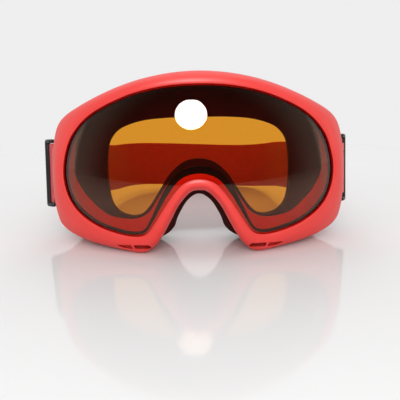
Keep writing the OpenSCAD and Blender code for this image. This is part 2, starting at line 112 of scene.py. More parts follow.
FRAME_LINE = smooth_loop(FRAME_HALF)
LENS_LINE = smooth_loop(LENS_HALF)
RIM_LINE = smooth_loop(RIM_HALF)
FOAM_LINE = smooth_loop(FOAM_HALF)
FACE_LINE = smooth_loop(FACE_HALF)
OUTWARD = unit(FRAME_LINE - LENS_LINE)


def dome_y(line, front):
    """Depth of the sphere parallel to the lens and this far in front of it, below each point."""
    x, z = line[..., 0], line[..., 1] - LENS_Z
    return LENS_R - np.sqrt((LENS_R + front)**2 - x**2 - z**2)


def face_y(line):
    """Depth of the flange's rear face: a parabola round the face."""
    return FLANGE_Y + line[..., 0]**2 / (2 * FACE_R)


def at_depth(line, y):
    """A line of the front view with a depth for each point."""
    return np.stack([line[..., 0], y, line[..., 1]], axis=-1)


def inset(line, d):
    """A line moved in from the frame towards the middle of the lens."""
    return line - OUTWARD * d


NOSE_AT = len(LENS_LINE) // 2
NOSE_REACH = 5 * STEPS


def nose_share():
    """For each station 0 away from the nose, and over it the share of the height between the lens's lowest
    corner and the nose."""
    z = LENS_LINE[:, 1]
    low = z[NOSE_AT - NOSE_REACH]
    share = (z - low) / (z[NOSE_AT] - low)
    return np.where(np.abs(np.arange(len(z)) - NOSE_AT) > NOSE_REACH, 0, share)[:, None]


def inset_nose(line, d, more):
    """A line moved in by d, and by more over the nose."""
    return line - OUTWARD * (d + more * nose_share())


def on_dome(line, front):
    """A line laid on the sphere this far in front of the lens."""
    return at_depth(line, dome_y(line, front))


def on_face(line, back):
    """A line laid this far behind the flange's rear face."""
    return at_depth(line, face_y(line) + back)


def behind(line, back):
    """A line laid this far behind the sphere at the frame's own outline."""
    return at_depth(line, dome_y(FRAME_LINE, 0) + back)


def stood(p):
    """The upright place turned back by the lean about the front of the lens, and set on the table."""
    y, z = p[..., 1], p[..., 2] - LENS_Z
    return np.stack([p[..., 0], y * math.cos(LEAN) + z * math.sin(LEAN),
                     z * math.cos(LEAN) - y * math.sin(LEAN) + REST_Z], axis=-1)


def smoothstep(t):
    """0 below 0, 1 above 1, and the cubic 3t^2 - 2t^3 between."""
    t = np.clip(t, 0, 1)
    return t * t * (3 - 2 * t)


def through(points, count):
    """A curve through points: cubic Hermite spans over chord length, evenly sampled.

    The tangent at a point is the slope of the parabola through it and its two neighbours.
    """
    points = np.asarray(points, float)
    h = np.linalg.norm(np.diff(points, axis=0), axis=1)
    slope = np.diff(points, axis=0) / h[:, None]
    tangent = np.empty_like(points)
    tangent[0], tangent[-1] = slope[0], slope[-1]
    before, after = h[:-1, None], h[1:, None]
    tangent[1:-1] = (slope[:-1] * after + slope[1:] * before) / (before + after)
    s = np.concatenate([[0], np.cumsum(h)])
    at = np.linspace(0, s[-1], count)
    i = np.clip(np.searchsorted(s, at, side="right") - 1, 0, len(h) - 1)
    t, w = ((at - s[i]) / h[i])[:, None], h[i][:, None]
    return (points[i] * (2 * t**3 - 3 * t**2 + 1) + tangent[i] * w * (t**3 - 2 * t**2 + t)
            + points[i + 1] * (3 * t**2 - 2 * t**3) + tangent[i + 1] * w * (t**3 - t**2))


# Meshes

MERGE_DIST = 1e-7
NODE_MERGE_DIST = 2e-6
FLAT_ANGLE = math.radians(0.5)


def grid_faces(rows, cols, loop_rows, loop_cols):
    """Quads of a grid of points counted row by row, closed into a loop either way if asked."""
    i = np.arange(rows if loop_rows else rows - 1)[:, None]
    j = np.arange(cols if loop_cols else cols - 1)[None, :]
    i2, j2 = (i + 1) % rows, (j + 1) % cols
    quads = np.stack(np.broadcast_arrays(i * cols + j, i * cols + j2, i2 * cols + j2, i2 * cols + j), -1)
    return quads.reshape(-1, 4).tolist()


def new_piece(name, points, faces, crease=40):
    """A closed mesh from points and faces, faces turned outwards, smooth but for creases (degrees)."""
    mesh = bpy.data.meshes.new(name)
    mesh.from_pydata(np.asarray(points).reshape(-1, 3).tolist(), [], faces)
    obj = bpy.data.objects.new(name, mesh)
    bpy.context.collection.objects.link(obj)
    turn_outwards(mesh)
    shade(obj, crease)
    return obj


def turn_outwards(mesh):
    """Merges doubled points and recalculates the normals of a closed mesh."""
    bm = bmesh.new()
    bm.from_mesh(mesh)
    bmesh.ops.remove_doubles(bm, verts=bm.verts, dist=MERGE_DIST)
    bmesh.ops.recalc_face_normals(bm, faces=bm.faces)
    bm.to_mesh(mesh)
    bm.free()


def shade(obj, crease):
    """Smooth shading, but for edges sharper than crease (degrees)."""
    obj.data.shade_smooth()
    obj.data.set_sharp_from_angle(angle=math.radians(crease))


BEND_STEPS = 5
BEND_SHARE = 0.45
TINY = 1e-9


def rounded(corners, radii):
    """Rows of points with rounded corners, in a loop of corner rows.

    At each corner a quadratic Bezier starts on the way to the row before, bends at the corner and ends
    on the way to the row after. It takes at most BEND_SHARE of either side.
    """
    p = np.asarray(corners)
    r = np.broadcast_to(np.asarray(radii, float), len(p)).reshape(-1, *[1] * (p.ndim - 1))

    def reach(side):
        """The part of a side that the bend takes: its radius, at most BEND_SHARE of the side."""
        length = np.linalg.norm(side, axis=-1, keepdims=True)
        return side * np.minimum(BEND_SHARE, r / np.maximum(length, TINY))

    a = p + reach(np.roll(p, 1, axis=0) - p)
    c = p + reach(np.roll(p, -1, axis=0) - p)
    t = np.linspace(0, 1, BEND_STEPS).reshape(1, -1, *[1] * (p.ndim - 1))
    rows = (1 - t)**2 * a[:, None] + 2 * t * (1 - t) * p[:, None] + t**2 * c[:, None]
    return rows.reshape(-1, *p.shape[1:])


def band(name, rings, radii, crease=40):
    """A closed band: rounded rings of stations, a loop both ways."""
    rows = rounded(rings, radii)
    return new_piece(name, stood(rows), grid_faces(*rows.shape[:2], True, True), crease)


def prism(name, outline, low, high, place):
    """A closed prism: a flat outline (u, v) at two heights w, each point put in place by place(u, v, w)."""
    u, v = np.asarray(outline).T
    rows = np.stack([place(u, v, np.full_like(u, w)) for w in (low, high)])
    n = len(u)
    caps = [list(range(n)), list(range(n, 2 * n))]
    return new_piece(name, stood(rows), grid_faces(2, n, False, True) + caps)


def combined(obj, tool, operation, crease):
    """obj after a Boolean with tool, which is used up."""
    cut = obj.modifiers.new("cut", "BOOLEAN")
    cut.solver, cut.operation, cut.object = "MANIFOLD", operation, tool
    made = bpy.data.meshes.new_from_object(obj.evaluated_get(bpy.context.evaluated_depsgraph_get()))
    obj.modifiers.clear()
    obj.data = made
    bpy.data.objects.remove(tool)
    shade(obj, crease)
    return obj


def softened(node, radius, crease=35, segments=3):
    """A copy of a CAD node with its flat faces made whole and its sharp outer edges rounded by radius."""
    obj = bpy.data.objects.new(node + "_moulded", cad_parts[node].data.copy())
    bpy.context.collection.objects.link(obj)
    bm = bmesh.new()
    bm.from_mesh(obj.data)
    bmesh.ops.remove_doubles(bm, verts=bm.verts, dist=NODE_MERGE_DIST)
    bmesh.ops.dissolve_limit(bm, angle_limit=FLAT_ANGLE, verts=bm.verts, edges=bm.edges)
    sharp = [e for e in bm.edges if e.is_convex and e.calc_face_angle() > math.radians(crease)]
    bmesh.ops.bevel(bm, geom=sharp, offset=radius, offset_type="OFFSET", segments=segments, profile=0.5,
                    affect="EDGES", clamp_overlap=False)
    bmesh.ops.recalc_face_normals(bm, faces=bm.faces)
    bm.to_mesh(obj.data)
    bm.free()
    shade(obj, crease)
    return obj


def arc(middle, radius, start, end, count):
    """Points of a flat arc between two angles in degrees."""
    a = np.radians(np.linspace(start, end, count))
    return np.stack([middle[0] + radius * np.cos(a), middle[1] + radius * np.sin(a)], axis=-1)


# Frame: section rings in order, each with the radius of its corner

LENS_CLEAR = 0.15 * MM
LENS_BACK = LENS_T + LENS_CLEAR
BEZEL_LIP = 1.2 * MM
BEZEL_PROUD = 2 * MM
BEZEL_EDGE = 1.6 * MM
BEZEL_CROWN = 0.55
SHOULDER_IN = 1.6 * MM
SHOULDER_PROUD = 0.5 * MM
SIDE_FRONT = 2.5 * MM
STEP_FRONT, STEP_REAR = 7 * MM, 7.6 * MM
STEP_FRONT_IN, STEP_REAR_IN = 0.3 * MM, 1.2 * MM
WALL_IN = 1.6 * MM
WALL_T = 2.2 * MM
FLANGE_IN = 3 * MM
FLANGE_T = 2.4 * MM
FLANGE_FRONT = 3.2 * MM
WAIST = 1 * MM
SHELF_IN = 0.9 * MM
SHELF_NOSE = 1.9 * MM
SHELF_LINE = inset_nose(LENS_LINE, SHELF_IN, SHELF_NOSE)
SHELF_T = 1.8 * MM
SHELF_BACK = LENS_BACK + SHELF_T
WALL_FRONT = 1.5 * MM
GROOVE_D = 2.4 * MM
SIDE_BACK = 10 * MM
FRAME_RINGS = [
    (on_dome(LENS_LINE, BEZEL_LIP), 0.35 * MM),
    (on_dome(inset(LENS_LINE, -BEZEL_EDGE), BEZEL_PROUD), 1.4 * MM),
    (on_dome(LENS_LINE + (FRAME_LINE - LENS_LINE) * BEZEL_CROWN, BEZEL_PROUD), 3 * MM),
    (on_dome(inset(FRAME_LINE, SHOULDER_IN), SHOULDER_PROUD), 2 * MM),
    (on_dome(FRAME_LINE, -SIDE_FRONT), 2.5 * MM),
    (behind(inset(FRAME_LINE, STEP_FRONT_IN), STEP_FRONT), 0.35 * MM),
    (behind(inset(FRAME_LINE, STEP_REAR_IN), STEP_REAR), 0.35 * MM),
    (behind(inset(FRAME_LINE, WALL_IN), SIDE_BACK), 1.2 * MM),
    (on_face(inset(FRAME_LINE, FLANGE_IN + WAIST), -FLANGE_FRONT), 0.8 * MM),
    (on_face(inset(FRAME_LINE, FLANGE_IN), -FLANGE_T), 0.5 * MM),
    (on_face(inset(FRAME_LINE, FLANGE_IN), 0), 0.5 * MM),
    (on_face((inset(FRAME_LINE, FLANGE_IN) + RIM_LINE) / 2, 0), 2 * MM),
    (on_face(RIM_LINE, 0), 0.4 * MM),
    (on_face(RIM_LINE, -FLANGE_T), 0.6 * MM),
    (on_face(inset(FRAME_LINE, FLANGE_IN + WAIST + WALL_T), -FLANGE_FRONT), 1 * MM),
    (on_dome(inset(FRAME_LINE, WALL_IN + WALL_T), -SHELF_BACK - WALL_FRONT), 1 * MM),
    (on_dome(SHELF_LINE, -SHELF_BACK), 0.4 * MM),
    (on_dome(SHELF_LINE, -LENS_BACK), 0.2 * MM),
    (on_dome(inset(LENS_LINE, -GROOVE_D), -LENS_BACK), 0.1 * MM),
    (on_dome(inset(LENS_LINE, -GROOVE_D), LENS_CLEAR), 0.1 * MM),
    (on_dome(LENS_LINE, LENS_CLEAR), 0.2 * MM)]
FRAME_CREASE = 50

# Hinges at the frame's sides
PIN_OUT = 0.5 * MM
PIN_BACK = 6.4 * MM
PIN_X = FRAME_W / 2 + PIN_OUT
PIN_Y = float(dome_y(np.array([FRAME_W / 2, CLIP_Z]), 0)) + SIDE_BACK + PIN_BACK
PIN_BORE_R = 1.22 * MM
BORE_PAST = 1 * MM
BORE_SIDES = 48
BARREL_R = 2.8 * MM
LUG_LOW = 10.8 * MM
LUG_H = 5 * MM
LUG_STATIONS = 25
LUG_ROOT = MM * np.array([[-6, -9], [-1.2, -7]])
LUG_REAR = MM * np.array([[-6, -2]])

# Vents: places along the outline in outline points from the top centre, and the lower slots
TOP_VENT_AT = (0.45, 1.35, 2.2, 2.95)
TOP_VENT_L = 11 * MM
TOP_VENT_W = 3.4 * MM
VENT_REACH = 8 * MM
VENT_STATIONS = 13
LOWER_SLOTS = [MM * np.array([[27.6, 2.8], [37, 2.6], [38.2, 5], [28.8, 5.3]]),
               MM * np.array([[38.2, 2.6], [43.5, 2.8], [48.4, 4.7], [39.4, 5.1]])]
SLOT_ROUND = 0.8 * MM
SLOT_FRONT = -5 * MM
SLOT_BACK = 22 * MM
CUT_REACH = 150 * MM


def top_vent(side, at):
    """Cutter for one top vent: a stadium whose length follows the outline, along the outline's normal."""
    i = round(at * STEPS)
    x, z = FRAME_LINE[i]
    run = unit(FRAME_LINE[i + 1] - FRAME_LINE[i])
    middle = (dome_y(FRAME_LINE[i], 0) + SIDE_BACK + face_y(FRAME_LINE[i]) - FLANGE_FRONT) / 2
    r, flat = TOP_VENT_W / 2, (TOP_VENT_L - TOP_VENT_W) / 2
    outline = np.vstack([arc((flat, 0), r, -90, 90, VENT_STATIONS),
                         arc((-flat, 0), r, 90, 270, VENT_STATIONS)])
    return prism("vent_cutter", outline, -VENT_REACH, VENT_REACH, lambda u, v, w: np.stack(
        [side * (x + run[0] * u - run[1] * w), middle + v, z + run[1] * u + run[0] * w], axis=-1))


def lower_slot(side, outline):
    """Cutter for one lower slot: its front view, with rounded corners, run straight back."""
    return prism("slot_cutter", rounded(outline, SLOT_ROUND), SLOT_FRONT, SLOT_BACK,
                 lambda u, v, w: np.stack([side * u, w, v], axis=-1))


def beside(side):
    """Place of a hinge's own u, v, w: out from the pin, back from it and up from the clip's middle."""
    return lambda u, v, w: np.stack([side * (PIN_X + u), PIN_Y + v, CLIP_Z + w], axis=-1)


def hinge_lugs(side):
    """Two lugs: a round end about the pin, with straight flanks down to the frame's side."""
    outline = np.vstack([LUG_ROOT, arc((0, 0), BARREL_R, 0, 180, LUG_STATIONS), LUG_REAR])
    return [prism("lug", outline, low, low + LUG_H, beside(side)) for low in (LUG_LOW, -LUG_LOW - LUG_H)]


def pin_bore(side):
    """Cutter for one hinge's bore: a many-sided prism about the pin, past both lugs."""
    reach = LUG_LOW + LUG_H + BORE_PAST
    outline = arc((0, 0), PIN_BORE_R, 0, 360 - 360 / BORE_SIDES, BORE_SIDES)
    return prism("bore_cutter", outline, -reach, reach, beside(side))


def below_table():
    """A block under the table's plane, which cuts the frame's lowest edges flat."""
    r = CUT_REACH
    z, y, x = np.meshgrid((-r, 0), (-r, r), (-r, r), indexing="ij")
    corners = np.stack([x, y, z], axis=-1)
    sides = [[0, 1, 3, 2], [4, 5, 7, 6], [0, 1, 5, 4], [2, 3, 7, 6], [0, 2, 6, 4], [1, 3, 7, 5]]
    return new_piece("table_cutter", corners, sides)


def make_frame():
    """The band of section rings with the hinge lugs joined on, then cut flat, bored and vented."""
    rings, radii = zip(*FRAME_RINGS)
    obj = band("frame_moulding", rings, radii, FRAME_CREASE)
    for lug in hinge_lugs(1) + hinge_lugs(-1):
        combined(obj, lug, "UNION", FRAME_CREASE)
    cutters = [below_table()] + [pin_bore(side) for side in (1, -1)]
    cutters += [top_vent(side, at) for side in (1, -1) for at in TOP_VENT_AT]
    cutters += [lower_slot(side, slot) for side in (1, -1) for slot in LOWER_SLOTS]
    for cutter in cutters:
        combined(obj, cutter, "DIFFERENCE", FRAME_CREASE)
    return obj


# Lenses, spacer and foam

LENS_MIDDLE = MM * np.array([0, 64])
LENS_ROWS = 36
LENS_SEAT = 2 * MM
GLUE_GAP = 0.05 * MM
SPACER_GAP = 0.3 * MM
SPACER_ROUND = 0.4 * MM
SPACER_LINE = inset_nose(LENS_LINE, SHELF_IN + SPACER_GAP, SHELF_NOSE)
SPACER_EDGE = inset_nose(LENS_LINE, SHELF_IN + SPACER_GAP + SPACER_RIM_W,
                         SHELF_NOSE + SPACER_W - SPACER_RIM_W)
SPACER_FRONT = LENS_T + GLUE_GAP
INNER_FRONT = LENS_T + LENS_GAP + 2 * GLUE_GAP


def lens_shell(name, line, front, back):
    """Shell between two spheres: straight lines from a middle point to the outline, laid on each sphere."""
    share = (np.arange(1, LENS_ROWS + 1) / LENS_ROWS)[:, None, None]
    flat = LENS_MIDDLE + (line - LENS_MIDDLE) * share
    rows = np.concatenate([on_dome(flat, -front), on_dome(flat[::-1], -back)])
    poles = np.stack([on_dome(LENS_MIDDLE, -front), on_dome(LENS_MIDDLE, -back)])
    count, n = rows.shape[:2]
    faces = grid_faces(count, n, False, True)
    first, last = count * n, count * n + 1
    j = np.arange(n)
    faces += np.stack([np.full(n, first), j, (j + 1) % n], axis=-1).tolist()
    faces += np.stack([np.full(n, last), (count - 1) * n + j, (count - 1) * n + (j + 1) % n], -1).tolist()
    return new_piece(name, stood(np.vstack([rows.reshape(-1, 3), poles])), faces)


def make_spacer():
    """A closed band between the two lenses' spheres, from its outer line to its inner edge."""
    back = SPACER_FRONT + LENS_GAP
    rings = [on_dome(SPACER_LINE, -SPACER_FRONT), on_dome(SPACER_LINE, -back),
             on_dome(SPACER_EDGE, -back), on_dome(SPACER_EDGE, -SPACER_FRONT)]
    return band("spacer_tape", rings, SPACER_ROUND)


FOAM_GAP = 0.12 * MM
FIRM_T = 8 * MM
SOFT_T = 8 * MM
FLEECE_T = 1.5 * MM
FIRM_BACK = FOAM_GAP + FIRM_T
SOFT_FRONT = FIRM_BACK + FOAM_GAP
SOFT_BACK = SOFT_FRONT + SOFT_T
FLEECE_FRONT = SOFT_BACK + FOAM_GAP
FLEECE_BACK = FLEECE_FRONT + FLEECE_T
SOFT_DRAW = 0.09
FLEECE_DRAW = 0.16
FIRM_BULGE, SOFT_BULGE = 0.2 * MM, 0.5 * MM
FIRM_ROUND, SOFT_ROUND, FLEECE_ROUND = 0.6 * MM, 1.0 * MM, 0.6 * MM
FOAM_CREASE = 60


def foam_layer(name, front, back, front_in, back_in, bulge, radius):
    """A closed layer round the face opening, between two depths behind the flange.

    Each edge draws in by a share of the foam's width from front to back, and its side bulges at mid depth.
    """
    width = FACE_LINE - FOAM_LINE
    middle, share = (front + back) / 2, (front_in + back_in) / 2
    out = unit(width) * bulge
    rings = [on_face(FOAM_LINE + width * front_in, front),
             on_face(FOAM_LINE + width * share - out, middle),
             on_face(FOAM_LINE + width * back_in, back),
             on_face(FACE_LINE - width * back_in, back),
             on_face(FACE_LINE - width * share + out, middle),
             on_face(FACE_LINE - width * front_in, front)]
    return band(name, rings, [radius, 3 * radius, radius] * 2, FOAM_CREASE)


# Vent strips: stations of the outline, and shares of the way from the lens's shelf to the flange
STRIP_LIFT = 0.3 * MM
STRIP_ROUND = 0.6 * MM
TOP_STRIP_T = 3 * MM
TOP_STRIP = np.arange(-44, 45)
TOP_STRIP_SPAN = (0.2, 0.8)
LOWER_STRIP_T = 1.5 * MM
LOWER_STRIP = np.arange(116, 145)
LOWER_STRIP_SPAN = (0.05, 0.45)


def vent_strip(name, stations, span, thick, side=1):
    """A thin foam strip on the frame's inner wall: a rounded section carried along the wall's stations."""
    front, rear = span
    wall_front = on_dome(inset(FRAME_LINE, WALL_IN + WALL_T), -SHELF_BACK - WALL_FRONT)[stations]
    wall_rear = on_face(inset(FRAME_LINE, FLANGE_IN + WAIST + WALL_T), -FLANGE_FRONT)[stations]
    lift = at_depth(-OUTWARD[stations], np.zeros(len(stations)))
    corners = [wall_front + (wall_rear - wall_front) * share + lift * high
               for share, high in ((front, STRIP_LIFT), (rear, STRIP_LIFT),
                                   (rear, STRIP_LIFT + thick), (front, STRIP_LIFT + thick))]
    rows = np.swapaxes(rounded(corners, STRIP_ROUND), 0, 1) * (side, 1, 1)
    count, n = rows.shape[:2]
    caps = [list(range(n)), list(range((count - 1) * n, count * n))]
    return new_piece(name, stood(rows), grid_faces(count, n, False, True) + caps)


# Strap: two ends in their own u (back from the clip's bar) and v (towards the head), and a free back

ARM_L = 9.7 * MM
BAR_IN = 1 * MM
BAR_BACK = 8 * MM
REST_ANGLE = {1: 25, -1: 42}
SLIDER_U = {1: 54 * MM, -1: 58 * MM}
AIM = {1: unit(np.array([-0.256, 0.967])), -1: unit(np.array([0.278, 0.961]))}
NAME = {1: "right", -1: "left"}
STRETCH_L = 100 * MM
STRAP_CLEAR = 0.25 * MM
CLIP_BAR_R = 1.3 * MM
TURN_R = CLIP_BAR_R + STRAP_CLEAR + STRAP_T / 2
SLIDER_BAR_R = 1.2 * MM
SLIDER_TURN_R = SLIDER_BAR_R + STRAP_CLEAR + STRAP_T / 2
SLIDER_V = 1.5 * STRAP_T + 2 * STRAP_CLEAR + SLIDER_BAR_R - TURN_R
HEM = 16 * MM
HEM_DROP = 0.5 * MM
HEM_GAP = 0.1 * MM
TAIL_DROP = 0.3 * MM
TAIL_V = SLIDER_V + SLIDER_TURN_R
HEM_V = TAIL_V - STRAP_T - HEM_GAP - HEM_DROP
TURN_JOIN = 18 * MM
BACK_POINTS = MM * np.array([
    [-58.5, 181, 5.2], [-47, 193, 4], [-26, 199, 2.6], [2, 199.5, 1.3],
    [27, 197.5, 0.4], [46, 192, 1], [57, 181, 3.2]])
BEND_STATIONS = 17
TURN_STATIONS = 60
TAIL_STATIONS = 90
STRETCH_STATIONS = 5
BACK_STATIONS = 260
FLAT_STATIONS = 15
EDGE_STATIONS = 6
EDGE_ARC = 75
STRAP_CREASE = 60
SQUARE_UP_L = 25 * MM
TURN_WEAVE_AT = 0.1
TAIL_WEAVE_AT = 0.2
END_UP = np.array([0, math.sin(LEAN), math.cos(LEAN)])
UP = np.array([0, 0, 1.0])


def clip_bar(side):
    """Where a clip's rear bar stands at rest, in the top view: arm and bar turned about the hinge pin."""
    turn = math.radians(90 - REST_ANGLE[side])
    u, v = ARM_L - BAR_IN, BAR_BACK
    return np.array([side * (PIN_X + u * math.cos(turn) - v * math.sin(turn)),
                     PIN_Y + u * math.sin(turn) + v * math.cos(turn)])


def on_stretch(side, uv):
    """Leaned place of points u, v of one strap end."""
    uv, aim = np.asarray(uv, float), AIM[side]
    inner = np.array([-aim[1], aim[0]]) * side
    xy = clip_bar(side) + uv[..., :1] * aim + uv[..., 1:] * inner
    return stood(np.concatenate([xy, np.full_like(xy[..., :1], CLIP_Z)], axis=-1))


def tail_run(side):
    """The strap's end: sewn hem, turn round the slider's bar, and back towards the clip."""
    u = SLIDER_U[side]
    return np.vstack([
        [[u - HEM, HEM_V], [u - HEM / 2, HEM_V + TAIL_DROP], [u - HEM / 4, SLIDER_V - SLIDER_BAR_R]],
        arc((u, SLIDER_V), SLIDER_TURN_R, -90, 90, BEND_STATIONS),
        [[u - HEM / 2, TAIL_V - TAIL_DROP], [u / 3, TURN_R + HEM_DROP]]])


def turn_run(side):
    """The turn round the clip's bar, with a short length of both layers."""
    return np.vstack([[[SLIDER_U[side] / 3, TURN_R + HEM_DROP]],
                      arc((0, 0), TURN_R, 90, 270, BEND_STATIONS),
                      [[TURN_JOIN, -TURN_R]]])


def webbing(name, path, up, start=0.0):
    """Flat webbing: a section with round edges carried along a path, across it up, through it the normal.

    The UV map holds metres across the strap and along it from start.
    """
    run = unit(np.gradient(path, axis=0))
    up = unit(up - run * np.sum(up * run, axis=1, keepdims=True))
    normal = np.cross(up, run)
    r = STRAP_T / 2
    flat = np.linspace(-1, 1, FLAT_STATIONS) * (STRAP_W / 2 - r)
    section = np.vstack([np.stack([flat, np.full_like(flat, r)], axis=-1),
                         arc((STRAP_W / 2 - r, 0), r, EDGE_ARC, -EDGE_ARC, EDGE_STATIONS),
                         np.stack([flat[::-1], np.full_like(flat, -r)], axis=-1),
                         arc((r - STRAP_W / 2, 0), r, EDGE_ARC - 180, -EDGE_ARC - 180, EDGE_STATIONS)])
    rows = path[:, None] + up[:, None] * section[:, :1] + normal[:, None] * section[:, 1:]
    count, n = rows.shape[:2]
    caps = [list(range(n)), list(range((count - 1) * n, count * n))]
    obj = new_piece(name, rows, grid_faces(count, n, False, True) + caps, STRAP_CREASE)
    along = start + np.concatenate([[0], np.cumsum(np.linalg.norm(np.diff(path, axis=0), axis=1))])
    across = np.broadcast_to(section[:, 0] + STRAP_W / 2, (count, n))
    place = np.stack([across, np.broadcast_to(along[:, None], (count, n))], axis=-1).reshape(-1, 2)
    corner = np.empty(len(obj.data.loops), np.int32)
    obj.data.loops.foreach_get("vertex_index", corner)
    obj.data.uv_layers.new(name="weave").data.foreach_set("uv", place[corner].ravel())
    return obj, along[-1] - start


def strap_end(side, run, name, count, start):
    """Webbing along a run of one strap end, smoothed into count stations."""
    path = on_stretch(side, through(run, count))
    return webbing(f"{NAME[side]}_{name}", path, np.broadcast_to(END_UP, path.shape), start)


def strap_middle():
    """The strap between the two turns: straight along each stretch, then round the free back.

    Its upright leans with the goggles on the stretches and stands square to the run at the back.
    """
    u = np.linspace(TURN_JOIN, STRETCH_L, STRETCH_STATIONS)
    ends = {side: on_stretch(side, np.stack([u, np.full_like(u, -TURN_R)], axis=-1)) for side in (1, -1)}
    back = BACK_POINTS + (0, 0, STRAP_W / 2)
    path = through(np.vstack([ends[-1], back, ends[1][::-1]]), BACK_STATIONS)
    length = np.linalg.norm(np.diff(path, axis=0), axis=1).sum()
    station = np.arange(BACK_STATIONS)
    from_end = np.minimum(station, station[::-1]) / (BACK_STATIONS - 1) * length
    square = smoothstep((from_end - (STRETCH_L - TURN_JOIN)) / SQUARE_UP_L)[:, None]
    run = unit(np.gradient(path, axis=0))
    upright = unit(UP - run * run[:, 2:])
    return webbing("strap_back", path, END_UP * (1 - square) + upright * square, 0.0)


STITCH_L = 2.1 * MM
STITCH_R = 0.28 * MM
STITCHES = 13
STITCH_ROWS = (10.5 * MM, 13 * MM)
STITCH_MARGIN = 2.5 * MM
BALL_SIDES = 8
BALL_RINGS = 5


def hem_stitches(side):
    """Two rows of thread across the hem: each stitch an ellipsoid half sunk in the webbing's head side."""
    a = np.linspace(0, 2 * np.pi, BALL_SIDES, endpoint=False)
    b = np.linspace(0, np.pi, BALL_RINGS + 2)[1:-1, None]
    round_u, round_v = np.sin(b) * np.cos(a) * STITCH_R, np.sin(b) * np.sin(a) * STITCH_R
    rings = np.stack([round_u, round_v, np.broadcast_to(np.cos(b), round_u.shape) * STITCH_L / 2], axis=-1)
    ball = np.vstack([rings.reshape(-1, 3), [[0, 0, STITCH_L / 2], [0, 0, -STITCH_L / 2]]])
    j = np.arange(BALL_SIDES)
    fan = np.stack([np.full_like(j, len(ball) - 2), j, (j + 1) % BALL_SIDES], axis=-1)
    tips = np.vstack([fan, fan + (1, len(ball) - 2 - BALL_SIDES, len(ball) - 2 - BALL_SIDES)])
    quads = np.array(grid_faces(BALL_RINGS, BALL_SIDES, False, True))
    u_slider = SLIDER_U[side]
    slope = (TAIL_V - TAIL_DROP - TURN_R - HEM_DROP) / (u_slider * 2 / 3 - HEM / 2)
    rows, heights = np.meshgrid(STITCH_ROWS, np.linspace(-1, 1, STITCHES) * (STRAP_W / 2 - STITCH_MARGIN))
    u = (u_slider - rows).ravel()
    v = TURN_R + HEM_DROP + (u - u_slider / 3) * slope + STRAP_T / 2
    middles = on_stretch(side, np.stack([u, v], axis=-1)) + heights.ravel()[:, None] * END_UP
    out = np.append(np.array([-AIM[side][1], AIM[side][0]]) * side, 0)
    axes = np.stack([np.append(AIM[side], 0), out, END_UP])
    points = middles[:, None] + ball @ axes
    first = (np.arange(len(middles)) * len(ball))[:, None, None]
    faces = (quads + first).reshape(-1, 4).tolist() + (tips + first).reshape(-1, 3).tolist()
    return new_piece(f"{NAME[side]}_hem_stitches", points, faces)


# Materials: shared effects first, as groups that put out a height and a tone over the surface

TONE_SPAN = (0.25, 0.75)
WEAVE_CLOUD = 160.0
FOAM_GLOSS = 0.1


def group_with(name, values):
    """An empty shader group with a Vector input, the named value inputs and the outputs Height and Tone."""
    tree = bpy.data.node_groups.new(name, "ShaderNodeTree")
    tree.interface.new_socket("Vector", in_out="INPUT", socket_type="NodeSocketVector")
    for label, value in values.items():
        tree.interface.new_socket(label, in_out="INPUT", socket_type="NodeSocketFloat").default_value = value
    for label in ("Height", "Tone"):
        tree.interface.new_socket(label, in_out="OUTPUT", socket_type="NodeSocketFloat")
    return tree, tree.nodes.new("NodeGroupInput"), tree.nodes.new("NodeGroupOutput")


def maths(tree, operation, a, b=None):
    """A Math node; a and b are sockets or numbers."""
    node = tree.nodes.new("ShaderNodeMath")
    node.operation = operation
    for socket, value in zip(node.inputs, (a, b)):
        if isinstance(value, bpy.types.NodeSocket):
            tree.links.new(value, socket)
        elif value is not None:
            socket.default_value = value
    return node.outputs[0]


def noise(tree, vector, scale, detail=2.0, rough=0.5):
    """Noise over a vector; scale is a socket or a number."""
    node = tree.nodes.new("ShaderNodeTexNoise")
    node.inputs["Detail"].default_value = detail
    node.inputs["Roughness"].default_value = rough
    tree.links.new(vector, node.inputs["Vector"])
    if isinstance(scale, bpy.types.NodeSocket):
        tree.links.new(scale, node.inputs["Scale"])
    else:
        node.inputs["Scale"].default_value = scale
    return node.outputs[0]


def make_moulded_grain():
    """Moulded skin: a fine even grain as height, and broad cloudy patches as tone."""
    tree, ins, outs = group_with("moulded grain", {"Grain": 1800.0, "Cloud": 45.0})
    grain = noise(tree, ins.outputs["Vector"], ins.outputs["Grain"], rough=0.6)
    cloud = noise(tree, ins.outputs["Vector"], ins.outputs["Cloud"], detail=3.0)
    tree.links.new(grain, outs.inputs["Height"])
    tree.links.new(cloud, outs.inputs["Tone"])
    return tree


def make_foam_cells():
    """Open foam: rounded cell hollows as height, and cell-to-cell shade mixed with clouds as tone."""
    tree, ins, outs = group_with("foam cells", {"Cells": 1300.0, "Cloud": 60.0})
    cells = tree.nodes.new("ShaderNodeTexVoronoi")
    tree.links.new(ins.outputs["Vector"], cells.inputs["Vector"])
    tree.links.new(ins.outputs["Cells"], cells.inputs["Scale"])
    tree.links.new(cells.outputs["Distance"], outs.inputs["Height"])
    cloud = noise(tree, ins.outputs["Vector"], ins.outputs["Cloud"], detail=3.0)
    tree.links.new(maths(tree, "MULTIPLY", cloud, cells.outputs["Distance"]), outs.inputs["Tone"])
    return tree


